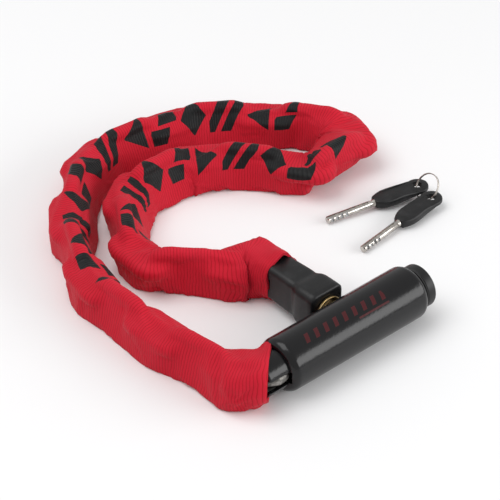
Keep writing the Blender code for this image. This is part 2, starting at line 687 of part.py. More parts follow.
def build_key_ring():
    """The split ring: two turns of wire, threaded through both eyes and leaning up beyond them."""
    chord = EYE_B - EYE_A
    u = chord.normalized()
    level = Vector((-u.y, u.x, 0)).normalized()
    lean = math.radians(RING_LEAN_DEG)
    w = level * math.cos(lean) + Vector((0, 0, 1)) * math.sin(lean)
    centre = (EYE_A + EYE_B) / 2 + w * math.sqrt(RING_R**2 - (chord.length / 2) ** 2)
    normal = u.cross(w)
    per_turn = 32
    coil = []
    for i in range(per_turn * 2 - 2):
        a = 2 * math.pi * i / per_turn
        rise = 0.75 * (i / per_turn - 1)
        outward = u * math.cos(a) + w * math.sin(a)
        middle = centre + RING_R * outward + rise * normal
        coil.append([middle + RING_WIRE_R * (math.cos(b) * normal + math.sin(b) * outward)
                     for b in (math.pi * j / 2 for j in range(4))])
    add("key_ring", lofted(coil), "nickel")


# ---------------------------------------------------------------- assembly
def centre_on_floor():
    """Moves everything so that the origin is the bottom centre of the whole box."""
    bpy.context.view_layer.update()
    shown = [o for o in bpy.data.objects if o.type == "MESH" and not o.hide_render]
    corners = [o.matrix_world @ v.co for o in shown for v in o.data.vertices]
    low = Vector([min(c[i] for c in corners) for i in range(3)])
    high = Vector([max(c[i] for c in corners) for i in range(3)])
    shift = Vector(((low.x + high.x) / 2, (low.y + high.y) / 2, low.z))
    for o in bpy.data.objects:
        if o.parent is None:
            o.location -= shift
    bpy.context.view_layer.update()
    return shift


def main():
    for obj in list(bpy.data.objects):
        bpy.data.objects.remove(obj)
    crossings = chain_crossings()
    links = build_chain(crossings)
    chain_axes(links, crossings)
    build_sleeve(crossings)
    build_housing(RIVET[0])
    build_bezel()
    build_cylinder()
    build_bolt(RIVET[0])
    build_head()
    build_key(1, EYE_A, HEADING_A)
    build_key(2, EYE_B, HEADING_B)
    build_key_ring()
    return crossings, centre_on_floor()


result = main()
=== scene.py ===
"""The chain lock's looks: a woven sleeve settled over its chain, a glossy body, a moulded head and keys.

Lengths are millimetres until they are multiplied by MM. Every place is worked out from the CAD frame.
"""
import json
import math

import bmesh
import bpy
import numpy as np
from mathutils import Matrix, Vector, noise


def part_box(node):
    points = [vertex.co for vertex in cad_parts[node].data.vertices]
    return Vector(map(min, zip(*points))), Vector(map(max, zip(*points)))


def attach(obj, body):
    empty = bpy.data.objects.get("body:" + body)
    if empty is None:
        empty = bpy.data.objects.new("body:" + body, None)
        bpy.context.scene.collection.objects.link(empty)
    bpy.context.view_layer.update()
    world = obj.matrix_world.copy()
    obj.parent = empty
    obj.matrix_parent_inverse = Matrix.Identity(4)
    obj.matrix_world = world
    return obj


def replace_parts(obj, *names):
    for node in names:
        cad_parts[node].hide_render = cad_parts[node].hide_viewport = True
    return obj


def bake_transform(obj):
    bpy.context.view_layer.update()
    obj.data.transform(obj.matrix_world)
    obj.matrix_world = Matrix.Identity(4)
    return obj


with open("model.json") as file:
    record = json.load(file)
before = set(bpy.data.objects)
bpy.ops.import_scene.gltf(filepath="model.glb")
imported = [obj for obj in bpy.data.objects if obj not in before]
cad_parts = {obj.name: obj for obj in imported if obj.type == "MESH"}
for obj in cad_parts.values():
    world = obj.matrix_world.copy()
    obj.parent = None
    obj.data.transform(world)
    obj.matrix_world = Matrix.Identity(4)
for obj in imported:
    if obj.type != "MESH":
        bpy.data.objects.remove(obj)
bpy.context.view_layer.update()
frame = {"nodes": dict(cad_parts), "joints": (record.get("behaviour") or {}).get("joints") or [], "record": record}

MM = 0.001
NODES = frame["nodes"]
LINK_COUNT = sum(name.startswith("link_") for name in NODES)

# Lock body, in the body's own frame: x from its chain end's shoulder, r from its axis
BODY_R = 17.0
BODY_LEN = 110.0
NECK_R = 12.6
NECK_LEN = 15.0
BORE_R = 7.6
BEZEL_R = 13.7
BEZEL_LEN = 7.5

# From one crossing to the next along an upright link
UPRIGHT_STEP = 41.0

# Where the sleeve runs from over the neck to the second crossing, from the shoulder
NECK_ROUTE = [(14, -1), (2, -1), (-6, 0), (-16, 3), (-23, 13), (-27, 30)]

# Slot in the head that its link turns in: how much deeper, and how far across
LINK_SWEEP = 9.0
SWEEP_EDGE = 2.5
SLOT_HALF = 4.1

# Sleeve
SLEEVE_RINGS_MM = 2.2
SLEEVE_AROUND = 56
SLEEVE_GIRTH = 104.0
SLEEVE_T = 1.0
HEM_WIDTH = 7.0
HEM_T = 0.4
RIB_PITCH = 1.8
SPARE_LENGTH = 1.12
SIM_SCALE = 20.0
SIM_FRAMES = 34
TABLE_HALF = 400.0

# Fullness of the sleeve before it settles: its half size, and how far its mouths and its ends swell
SLEEVE_HALF = 14.2
MOUTH_REACH = 42.0
MOUTH_LEAD = 15.0
GATHER_REACH = 26.0

# The first of each flexing place's three crossings, and the crossing that the head's end starts from
FLEX_FIRST = (3, 9)
HEAD_CROSSING = 23

# Print on the sleeve: its repeat, half width and distance to the side, where it changes side, and where it is
PRINT_CELL = 23.0
PRINT_HALF = 13.0
PRINT_SIDE = 7.0
PRINT_TWIST = (434.0, 482.0)
PRINTED = ((118.0, 430.0), (486.0, 716.0))

# Marking on the lock body: its place round the axis, its pitch, and (middle, half length) of bars and line
MARK_DEG = 69.0
MARK_PITCH = 7.5
MARK_SPAN = (47.0, 33.0)
THIN_SPAN = (68.0, 12.0)

# Keys and head, from the eye along the key and from the lock body's axis along the pin
PIN_R = 6.5
EYE_R = 7.45
EYE_HOLE_R = 3.15
BLADE_R = 2.4
BLADE_END = 67.5

LOOKS = {}


# ---------------------------------------------------------------- places
def span(node):
    low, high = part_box(node)
    return low / MM, high / MM


def lock_origin():
    """The shoulder at the chain end, on the lock body's axis, in millimetres."""
    low, high = span("vinyl_jacket")
    return Vector((low.x + NECK_LEN, (low.y + high.y) / 2, (low.z + high.z) / 2))


def major_axis(node):
    """A node's middle and the direction that it is longest in, in millimetres."""
    points = np.array([v.co for v in NODES[node].data.vertices], float) / MM
    low, high = points.min(0), points.max(0)
    _, vectors = np.linalg.eigh(np.cov((points - points.mean(0)).T))
    return Vector((low + high) / 2), Vector(vectors[:, 2]).normalized()


def chain_crossings():
    """Where neighbouring links cross, from the anchor pin to the head's rivet."""
    low, high = span("anchor_pin")
    crossings = [(low + high) / 2]
    for number in range(2, LINK_COUNT, 2):
        middle, along = major_axis(f"link_{number:02d}")
        along = Vector((along.x, along.y, 0)).normalized() * UPRIGHT_STEP / 2
        ends = [middle - along, middle + along]
        crossings += sorted(ends, key=lambda p: (p - crossings[-1]).length)
    low, high = span("head_rivet")
    return [*crossings, (low + high) / 2]


def joint(name):
    return next(j for j in frame["joints"] if j["name"] == name)


LOCK = lock_origin()
CROSSINGS = chain_crossings()
RIVET = CROSSINGS[-1]


# ---------------------------------------------------------------- meshes
def mesh_object(name, bm, slot, smooth_deg=40.0):
    """Turns a bmesh in millimetres into an object in metres, with the slot's material."""
    bmesh.ops.recalc_face_normals(bm, faces=bm.faces)
    if bm.calc_volume(signed=True) < 0:
        bmesh.ops.reverse_faces(bm, faces=bm.faces)
    bm.transform(Matrix.Scale(MM, 4))
    mesh = bpy.data.meshes.new(name)
    bm.to_mesh(mesh)
    bm.free()
    mesh.shade_smooth()
    mesh.set_sharp_from_angle(angle=math.radians(smooth_deg))
    mesh.materials.append(LOOKS[slot])
    obj = bpy.data.objects.new(name, mesh)
    bpy.context.scene.collection.objects.link(obj)
    return obj


def apply_modifiers(obj):
    """Swaps the mesh for what its modifiers make of it."""
    evaluated = obj.evaluated_get(bpy.context.evaluated_depsgraph_get())
    mesh = bpy.data.meshes.new_from_object(evaluated)
    obj.modifiers.clear()
    obj.data = mesh
    return obj


def cut(obj, bm, smooth_deg=40.0):
    """Cuts a closed shape out of obj."""
    cutter = mesh_object(obj.name + "_cutter", bm, "steel")
    step = obj.modifiers.new("cut", "BOOLEAN")
    step.operation = "DIFFERENCE"
    step.solver = "MANIFOLD"
    step.object = cutter
    apply_modifiers(obj)
    bpy.data.objects.remove(cutter)
    obj.data.shade_smooth()
    obj.data.set_sharp_from_angle(angle=math.radians(smooth_deg))
    return obj


def turned(profile, sides=96, closed=False):
    """Turns (x, r) points round the X axis."""
    bm = bmesh.new()
    rings = []
    for x, r in profile:
        if r == 0:
            rings.append([bm.verts.new((x, 0, 0))])
            continue
        turn = [2 * math.pi * i / sides for i in range(sides)]
        rings.append([bm.verts.new((x, r * math.cos(a), r * math.sin(a))) for a in turn])
    pairs = list(zip(rings, rings[1:]))
    if closed:
        pairs.append((rings[-1], rings[0]))
    for near, far in pairs:
        for i in range(sides):
            k = (i + 1) % sides
            corner = [near[i % len(near)], near[k % len(near)], far[k % len(far)], far[i % len(far)]]
            bm.faces.new(list(dict.fromkeys(corner)))
    return bm


def lofted(sections):
    """A closed skin through loops of the same number of points."""
    bm = bmesh.new()
    loops = [[bm.verts.new(p) for p in loop] for loop in sections]
    count = len(loops[0])
    for near, far in zip(loops, loops[1:]):
        for i in range(count):
            k = (i + 1) % count
            bm.faces.new([near[i], near[k], far[k], far[i]])
    bm.faces.new(loops[0][::-1])
    bm.faces.new(loops[-1])
    return bm


def box_mesh(low, high):
    bm = bmesh.new()
    bmesh.ops.create_cube(bm, size=1.0)
    size = Vector(high) - Vector(low)
    bm.transform(Matrix.Translation((Vector(high) + Vector(low)) / 2) @ Matrix.Diagonal((*size, 1)))
    return bm


def arc(x, r, radius, start_deg, end_deg, steps=8):
    """Points along a round corner, about the centre (x, r)."""
    turn = [math.radians(start_deg + (end_deg - start_deg) * i / steps) for i in range(steps + 1)]
    return [(x + radius * math.cos(a), r + radius * math.sin(a)) for a in turn]


def place(bm, origin, about_z=0.0):
    bm.transform(Matrix.Translation(origin) @ Matrix.Rotation(math.radians(about_z), 4, "Z"))
    return bm


# ---------------------------------------------------------------- materials
class Nodes:
    """Builds a material's nodes from short expressions."""

    def __init__(self, name):
        self.material = bpy.data.materials.new(name)
        self.material.use_nodes = True
        self.tree = self.material.node_tree
        self.shader = self.tree.nodes["Principled BSDF"]

    def new(self, kind, **settings):
        node = self.tree.nodes.new(kind)
        for key, value in settings.items():
            setattr(node, key, value)
        return node

    def join(self, value, socket):
        if isinstance(value, (int, float, tuple)):
            socket.default_value = value
        else:
            self.tree.links.new(value, socket)

    def math(self, operation, a, b=0.0, c=0.0, clamp=False):
        node = self.new("ShaderNodeMath", operation=operation, use_clamp=clamp)
        for value, socket in zip((a, b, c), node.inputs):
            self.join(value, socket)
        return node.outputs[0]

    def noise(self, vector, scale, detail=2.0, rough=0.5):
        node = self.new("ShaderNodeTexNoise")
        self.join(vector, node.inputs["Vector"])
        node.inputs["Scale"].default_value = scale
        node.inputs["Detail"].default_value = detail
        node.inputs["Roughness"].default_value = rough
        return node.outputs["Fac"]

    def between(self, value, low, high):
        """0 below low, 1 above high, smooth between."""
        node = self.new("ShaderNodeMapRange", interpolation_type="SMOOTHSTEP")
        self.join(value, node.inputs["Value"])
        node.inputs["From Min"].default_value = low
        node.inputs["From Max"].default_value = high
        return node.outputs["Result"]

    def scaled(self, value, low, high):
        """Spreads 0 to 1 over low to high."""
        return self.math("MULTIPLY_ADD", value, high - low, low)

    def mix(self, factor, a, b):
        node = self.new("ShaderNodeMix", data_type="RGBA")
        self.join(factor, node.inputs["Factor"])
        self.join(a, node.inputs[6])
        self.join(b, node.inputs[7])
        return node.outputs[2]

    def bump(self, height, distance, strength=1.0):
        node = self.new("ShaderNodeBump")
        node.inputs["Strength"].default_value = strength
        node.inputs["Distance"].default_value = distance
        self.join(height, node.inputs["Height"])
        return node.outputs["Normal"]

    def object_mm(self):
        """The point on the object, in millimetres."""
        node = self.new("ShaderNodeTexCoord")
        scale = self.new("ShaderNodeVectorMath", operation="SCALE")
        self.join(node.outputs["Object"], scale.inputs[0])
        scale.inputs["Scale"].default_value = 1 / MM
        return scale.outputs[0]

    def parts(self, vector):
        node = self.new("ShaderNodeSeparateXYZ")
        self.join(vector, node.inputs[0])
        return node.outputs[0], node.outputs[1], node.outputs[2]

    def set(self, **sockets):
        names = {"colour": "Base Color", "roughness": "Roughness", "metallic": "Metallic", "normal": "Normal",
                 "coat": "Coat Weight", "coat_roughness": "Coat Roughness", "sheen": "Sheen Weight",
                 "sheen_roughness": "Sheen Roughness", "ior": "IOR", "specular": "Specular IOR Level"}
        for key, value in sockets.items():
            self.join(value, self.shader.inputs[names[key]])
        return self.material


def rgb(r, g, b):
    return (r, g, b, 1.0)


def worn_metal(name, base, dark, roughness, bump_mm):
    """Metal with a mottled tone, fine scratches and dull patches."""
    n = Nodes(name)
    p = n.object_mm()
    mottle = n.noise(p, 0.35, 4.0)
    grain = n.noise(p, 3.5, 3.0, 0.6)
    colour = n.mix(n.between(mottle, 0.35, 0.7), rgb(*dark), rgb(*base))
    height = n.math("ADD", n.math("MULTIPLY", grain, 0.6), mottle)
    return n.set(colour=colour, metallic=1.0, roughness=n.scaled(mottle, roughness * 0.75, roughness * 1.35),
                 normal=n.bump(height, bump_mm * MM))


def vinyl():
    """Glossy black vinyl with a soft orange peel, hairline scuffs and a dark red row of slanted bars."""
    n = Nodes("glossy vinyl")
    p = n.object_mm()
    x, y, z = n.parts(p)
    x = n.math("SUBTRACT", x, LOCK.x)
    y = n.math("SUBTRACT", y, LOCK.y)
    z = n.math("SUBTRACT", z, LOCK.z)
    peel = n.noise(p, 0.55, 2.0)
    scuff = n.noise(p, 2.8, 5.0, 0.7)
    around = n.math("MULTIPLY", n.math("ARCTAN2", z, n.math("MULTIPLY", y, -1.0)), BODY_R)
    v = n.math("SUBTRACT", around, math.radians(MARK_DEG) * BODY_R)
    slanted = n.math("MULTIPLY_ADD", v, -0.35, x)
    bar = n.math("SUBTRACT", n.math("FLOORED_MODULO", slanted, MARK_PITCH), MARK_PITCH / 2)

    def within(value, middle, half):
        return n.math("LESS_THAN", n.math("ABSOLUTE", n.math("SUBTRACT", value, middle)), half)

    in_bar, in_row, in_span = within(bar, 0.0, 1.5), within(v, 0.0, 3.0), within(x, *MARK_SPAN)
    thin, thin_span = within(v, -5.4, 0.6), within(x, *THIN_SPAN)
    row = n.math("MULTIPLY", n.math("MULTIPLY", in_bar, in_row), in_span)
    mark = n.math("MAXIMUM", row, n.math("MULTIPLY", thin, thin_span))
    colour = n.mix(mark, rgb(0.0035, 0.0033, 0.004), rgb(0.055, 0.003, 0.005))
    rough = n.math("ADD", n.scaled(n.between(scuff, 0.55, 0.8), 0.2, 0.34), n.math("MULTIPLY", mark, 0.12))
    height = n.math("ADD", peel, n.math("MULTIPLY", scuff, 0.05))
    return n.set(colour=colour, roughness=rough, normal=n.bump(height, 0.07 * MM), specular=0.32,
                 coat=0.12, coat_roughness=0.14)


def moulded(name, tone, roughness, grain_scale):
    """Moulded plastic with a fine spark-eroded grain and lighter rubbed patches."""
    n = Nodes(name)
    p = n.object_mm()
    grain = n.noise(p, grain_scale, 3.0, 0.6)
    rub = n.noise(p, 0.12, 4.0)
    light = tuple(min(1.0, c * 2.1 + 0.004) for c in tone)
    colour = n.mix(n.between(rub, 0.45, 0.75), rgb(*tone), rgb(*light))
    return n.set(colour=colour, roughness=n.scaled(grain, roughness - 0.07, roughness + 0.1), specular=0.35,
                 normal=n.bump(grain, 0.06 * MM))


def sleeve_fabric():
    """Ribbed red nylon, with painted shade darkening its rib grooves. U runs round the tube from its top and V
    along it, both in decimetres.
    """
    n = Nodes("ribbed nylon")
    uv = n.new("ShaderNodeUVMap", uv_map="UVMap")
    u, v, _ = n.parts(uv.outputs[0])
    u = n.math("MULTIPLY", n.math("SUBTRACT", u, 0.5), 100.0)
    v = n.math("MULTIPLY", v, 100.0)
    p = n.object_mm()
    wander = n.math("MULTIPLY", n.math("SUBTRACT", n.noise(p, 0.08, 2.0), 0.5), 3.0)
    along = n.math("ADD", v, wander)
    rib = n.math("ABSOLUTE", n.math("SINE", n.math("MULTIPLY", along, math.pi / RIB_PITCH)))
    rib = n.math("POWER", rib, 0.6)
    yarn = n.math("ABSOLUTE", n.math("SINE", n.math("MULTIPLY", u, math.pi / 0.55)))
    fuzz = n.noise(p, 2.2, 4.0, 0.7)
    weave = n.math("ADD", rib, n.math("MULTIPLY", n.math("MULTIPLY", yarn, rib), 0.28))
    height = n.math("ADD", weave, n.math("MULTIPLY", fuzz, 0.35))
    # Painted shade: the rib grooves get a darker red than the crests, as if shade falls in them.
    red = n.mix(n.between(rib, 0.1, 0.8), rgb(0.36, 0.003, 0.010), rgb(0.56, 0.008, 0.026))
    faded = n.mix(n.between(n.noise(p, 0.05, 3.0), 0.42, 0.75), red, n.mix(0.12, red, rgb(0.70, 0.035, 0.07)))
    # Print ink, with painted shade: the ink is darker in the rib grooves than on the crests.
    ink_with_painted_groove_shade = n.mix(n.between(rib, 0.2, 0.9), rgb(0.002, 0.002, 0.0025), rgb(0.006, 0.0065, 0.007))
    mask = print_mask(n, u, v, fuzz)
    colour = n.mix(mask, faded, ink_with_painted_groove_shade)
    rough = n.math("SUBTRACT", n.scaled(fuzz, 0.66, 0.88), n.math("MULTIPLY", mask, 0.30))
    return n.set(colour=colour, roughness=rough, sheen=0.05, sheen_roughness=0.4, specular=0.22,
                 normal=n.bump(height, 0.19 * MM, 0.8))


def print_mask(n, u, v, fuzz):
    """A bold generic band along the sleeve: slanted bars, a wedge, two blocks and a lozenge, in turn."""
    ragged = n.math("MULTIPLY", n.math("SUBTRACT", fuzz, 0.5), 0.7)
    x = n.math("SUBTRACT", n.math("FLOORED_MODULO", v, PRINT_CELL), PRINT_CELL / 2)
    kind = n.math("FLOORED_MODULO", n.math("FLOOR", n.math("DIVIDE", v, PRINT_CELL)), 4.0)
    u = n.math("SUBTRACT", u, n.scaled(n.between(v, *PRINT_TWIST), PRINT_SIDE, -PRINT_SIDE))
    size = n.math("ABSOLUTE", u)

    def stroke(value, half):
        return n.math("LESS_THAN", n.math("ADD", n.math("ABSOLUTE", value), ragged), half)

    slant = n.math("MULTIPLY_ADD", u, 0.45, x)
    first_bar, second_bar = n.math("ADD", slant, 5.8), n.math("SUBTRACT", slant, 5.2)
    bars = n.math("MAXIMUM", stroke(first_bar, 3.6), stroke(second_bar, 3.6))
    slope = n.math("MULTIPLY_ADD", x, 0.8, 6.8)
    wedge = n.math("MULTIPLY", n.math("LESS_THAN", n.math("ADD", size, ragged), slope), stroke(x, 7.6))
    reach = n.math("MULTIPLY_ADD", size, 0.7, n.math("ABSOLUTE", x))
    lozenge = n.math("LESS_THAN", n.math("ADD", reach, ragged), 9.6)
    offset = n.math("MULTIPLY", n.math("SIGN", u), 2.6)
    blocks = n.math("MULTIPLY", stroke(n.math("ADD", slant, offset), 7.0), n.math("GREATER_THAN", size, 1.4))
    shape = 0.0
    for index, form in enumerate((bars, wedge, blocks, lozenge)):
        chosen = n.math("LESS_THAN", n.math("ABSOLUTE", n.math("SUBTRACT", kind, float(index))), 0.5)
        shape = n.math("MULTIPLY_ADD", chosen, form, shape)
    in_band = n.math("LESS_THAN", n.math("ADD", size, ragged), PRINT_HALF)
    spans = 0.0
    for start, end in PRINTED:
        middle, half = (start + end) / 2, (end - start) / 2
        inside = n.math("LESS_THAN", n.math("ABSOLUTE", n.math("SUBTRACT", v, middle)), half)
        spans = n.math("MAXIMUM", inside, spans)
    return n.math("MULTIPLY", n.math("MULTIPLY", shape, in_band), spans, clamp=True)


def floor_look():
    n = Nodes("pale floor")
    tone = n.noise(n.object_mm(), 0.002, 2.0)
    colour = n.mix(tone, rgb(0.86, 0.86, 0.865), rgb(0.88, 0.88, 0.885))
    return n.set(colour=colour, roughness=0.6, specular=0.2)


def make_looks():
    LOOKS["vinyl_black"] = vinyl()
    LOOKS["boot_black"] = moulded("satin moulding", (0.006, 0.006, 0.0065), 0.38, 2.6)
    LOOKS["sleeve_red"] = sleeve_fabric()
    metals = (
        ("chain_steel", "chain steel", (0.34, 0.33, 0.31), (0.12, 0.115, 0.105), 0.42, 0.08),
        ("steel", "machined steel", (0.55, 0.55, 0.55), (0.36, 0.36, 0.36), 0.32, 0.03),
        ("brass", "brass", (0.72, 0.53, 0.27), (0.45, 0.31, 0.13), 0.3, 0.03),
        ("nickel", "nickel plate", (0.60, 0.57, 0.53), (0.42, 0.39, 0.36), 0.2, 0.004),
    )
    for slot, name, base, dark, roughness, bump_mm in metals:
        LOOKS[slot] = worn_metal(name, base, dark, roughness, bump_mm)
    LOOKS["rubber"] = moulded("seal rubber", (0.02, 0.02, 0.02), 0.75, 3.0)
    LOOKS["floor"] = floor_look()
    slots = {s["node"]: s["material_slot"] for s in frame["record"]["subparts"]}
    for name, obj in NODES.items():
        obj.data.materials.clear()
        obj.data.materials.append(LOOKS[slots[name]])


# ---------------------------------------------------------------- sleeve
def rounded(points, times=3, ratio=0.2):
    """Cuts a polyline's corners until it is a smooth curve."""
    for _ in range(times):
        line = [points[0]]
        for a, b in zip(points, points[1:]):
            line += [a.lerp(b, ratio), b.lerp(a, ratio)]
        points = [*line, points[-1]]
    return points


class Route:
    """The sleeve's centre line, measured along its length."""

    def __init__(self, points):
        self.points = np.array([p[:] for p in points])
        self.lengths = np.r_[0, np.cumsum(np.linalg.norm(np.diff(self.points, axis=0), axis=1))]

    def at(self, s):
        return Vector([np.interp(s, self.lengths, self.points[:, k]) for k in range(3)])

    def heading(self, s, reach=6.0):
        return (self.at(s + reach) - self.at(s - reach)).normalized()

    def nearest(self, point):
        s = np.linspace(0, self.lengths[-1], 4000)
        d = [np.interp(s, self.lengths, self.points[:, k]) - point[k] for k in range(3)]
        return float(s[np.argmin(d[0] ** 2 + d[1] ** 2 + d[2] ** 2)])


def sleeve_route():
    """From over the neck, through the chain's crossings, to over the head's boot."""
    flat = [Vector((c.x, c.y, LOCK.z)) for c in CROSSINGS]
    neck = [LOCK + Vector((x, y, 0)) for x, y in NECK_ROUTE]
    outside = Vector((RIVET.x + 1, RIVET.y + 6, LOCK.z))
    after = Vector((RIVET.x + 1, RIVET.y - 40, LOCK.z))
    return Route(rounded([*neck, *flat[2:-1], outside, after]))


def swell(distance, reach):
    """1 at the middle, which dies away smoothly over its reach."""
    t = max(0.0, 1 - abs(distance) / reach)
    return t * t * (3 - 2 * t)


def sleeve_shape(route, start, end, at):
    """The unsettled sleeve: rings of points, wide where it bulges and narrow at its waists."""
    count = round((end - start) / SLEEVE_RINGS_MM)
    rings = []
    flat_middles = [(at[i] + at[i + 1]) / 2 for i in range(0, LINK_COUNT, 2)]
    for i in range(count + 1):
        s = start + (end - start) * i / count
        lead = MOUTH_LEAD * swell(s - start, 30)
        here, ahead = route.at(s), route.heading(s + lead)
        across = Vector((-ahead.y, ahead.x, 0)).normalized()
        nearest = min(abs(s - m) for m in flat_middles)
        wide = SLEEVE_HALF + 3.0 * swell(nearest, 24) + 4.0 * noise.noise((s * 0.021, 3.1, 0.7))
        tall = SLEEVE_HALF + 1.6 * noise.noise((s * 0.027, 9.4, 2.2))
        wide += 4.6 * swell(s - start, MOUTH_REACH) + 6.4 * swell(s - end + 30, 30)
        tall += 1.8 * max(swell(s - start, MOUTH_REACH), swell(s - end, 70))
        gather = 0.07 * swell(s - end, GATHER_REACH)
        loop = []
        for k in range(SLEEVE_AROUND):
            a = 2 * math.pi * k / SLEEVE_AROUND + math.pi
            c, t = math.sin(a), math.cos(a)
            crease = noise.noise((s * 0.11, c * 1.5, t * 1.5))
            crease += 0.5 * noise.noise((s * 0.26, c * 2.4 + 5, t * 2.4))
            r = 1 + 0.07 * crease + gather * math.cos(5 * a + 1)
            loop.append(here + across * (-c * wide * r) + Vector((0, 0, t * tall * r + (tall - 16.4) * 0.6)))
        rings.append(loop)
    return rings


def build_sleeve():
    """One tube of fabric, settled over the chain, then parted where bodies move."""
    route = sleeve_route()
    at = [route.nearest(Vector((c.x, c.y, LOCK.z))) for c in CROSSINGS]
    start = route.nearest(Vector((LOCK.x - 4.5, LOCK.y, LOCK.z)))
    end = route.nearest(Vector((RIVET.x + 1, RIVET.y - 20, LOCK.z)))
    rings = sleeve_shape(route, start, end, at)
    points = np.array([[p[:] for p in loop] for loop in rings])
    points[:, :, 2] = np.maximum(points[:, :, 2], 0.9)
    points = calmed(settled(points, (end - start) / (len(rings) - 1)))
    cut_at = [at[first + k] for first in FLEX_FIRST for k in range(3)] + [at[HEAD_CROSSING]]
    count = len(rings) - 1
    stops = [0] + [round((s - start) / (end - start) * count) for s in cut_at] + [count]
    names = ["sleeve_at_lock", "sleeve_bend_1a", "sleeve_bend_1b", "sleeve_left", "sleeve_bend_2a",
             "sleeve_bend_2b", "sleeve_round", "sleeve_at_head"]
    pieces = {}
    for name, first, last in zip(names, stops, stops[1:]):
        pieces[name] = sleeve_piece(name, points, first, last, (end - start) / count)
    ride_sleeve(pieces)


def grid_mesh(name, points, scale):
    """An open tube through a grid of points."""
    rows, sides = points.shape[:2]
    faces = []
    for i in range(rows - 1):
        for k in range(sides):
            near, far, after = i * sides, (i + 1) * sides, (k + 1) % sides
            faces.append((near + k, near + after, far + after, far + k))
    mesh = bpy.data.meshes.new(name)
    mesh.from_pydata((points.reshape(-1, 3) * scale).tolist(), [], faces)
    obj = bpy.data.objects.new(name, mesh)
    bpy.context.scene.collection.objects.link(obj)
    return obj


def collider(name, obj, scale, thickness):
    """A copy of an object, in the simulation's scale, for the cloth to rest on."""
    mesh = obj.data.copy()
    mesh.transform(Matrix.Scale(scale / MM, 4))
    copy = bpy.data.objects.new(name, mesh)
    bpy.context.scene.collection.objects.link(copy)
    copy.modifiers.new("collision", "COLLISION")
    copy.collision.thickness_outer = thickness
    copy.collision.cloth_friction = 12.0
    return copy


def settled(points, step):
    """Lets the tube of fabric, which is longer and wider than its space, buckle and sink on the chain."""
    rows, sides = points.shape[:2]
    scale = SIM_SCALE * MM
    cloth = grid_mesh("cloth", points, scale)
    radius = SLEEVE_GIRTH / (2 * math.pi)
    cloth.shape_key_add(name="Basis")
    key = cloth.shape_key_add(name="cut")
    turn = 2 * np.pi * np.arange(sides) / sides
    flat = np.zeros((rows, sides, 3))
    flat[:, :, 0] = (np.arange(rows) * step * SPARE_LENGTH)[:, None]
    flat[:, :, 1] = radius * np.cos(turn)
    flat[:, :, 2] = radius * np.sin(turn)
    key.data.foreach_set("co", (flat * scale).ravel())
    held = cloth.vertex_groups.new(name="held")
    held.add([i * sides + k for i in (0, 1, rows - 2, rows - 1) for k in range(sides)], 1.0, "REPLACE")

    sim = cloth.modifiers.new("cloth", "CLOTH")
    settings = sim.settings
    settings.rest_shape_key = key
    settings.quality = 7
    settings.mass = 0.25
    settings.tension_stiffness = 30
    settings.compression_stiffness = 30
    settings.shear_stiffness = 12
    settings.bending_stiffness = 1.2
    settings.tension_damping = 15
    settings.compression_damping = 15
    settings.shear_damping = 10
    settings.bending_damping = 1.0
    settings.air_damping = 2.0
    settings.vertex_group_mass = "held"
    contact = sim.collision_settings
    contact.collision_quality = 3
    contact.distance_min = 0.5 * scale
    contact.use_self_collision = True
    contact.self_distance_min = 0.8 * scale
    contact.self_friction = 5

    helpers = [collider(f"rest_{name}", NODES[name], scale, 0.6 * scale)
               for name in NODES if name.startswith("link_") or name in ("head_boot", "vinyl_jacket")]
    corners = [[(x, y, 0.0) for x in (-TABLE_HALF, TABLE_HALF)] for y in (-TABLE_HALF, TABLE_HALF)]
    table = grid_mesh("rest_table", np.array(corners), scale)
    table.modifiers.new("collision", "COLLISION")
    table.collision.thickness_outer = 0.5 * scale
    helpers.append(table)

    scene = bpy.context.scene
    sim.point_cache.frame_start, sim.point_cache.frame_end = 1, SIM_FRAMES
    scene.frame_start, scene.frame_end = 1, SIM_FRAMES
    for number in range(1, SIM_FRAMES + 1):
        scene.frame_set(number)
    evaluated = cloth.evaluated_get(bpy.context.evaluated_depsgraph_get())
    result = np.zeros(rows * sides * 3)
    evaluated.data.vertices.foreach_get("co", result)
    scene.frame_set(1)
    for obj in (cloth, *helpers):
        bpy.data.objects.remove(obj)
    return result.reshape(rows, sides, 3) / scale


def calmed(points, share=0.5):
    """Takes the finest wrinkles out of a tube, and leaves its mouths where they are."""
    beside = (np.roll(points, 1, 1) + np.roll(points, -1, 1)) / 4
    beside[1:-1] += (points[2:] + points[:-2]) / 4
    points[1:-1] += share * (beside[1:-1] - points[1:-1])
    return points


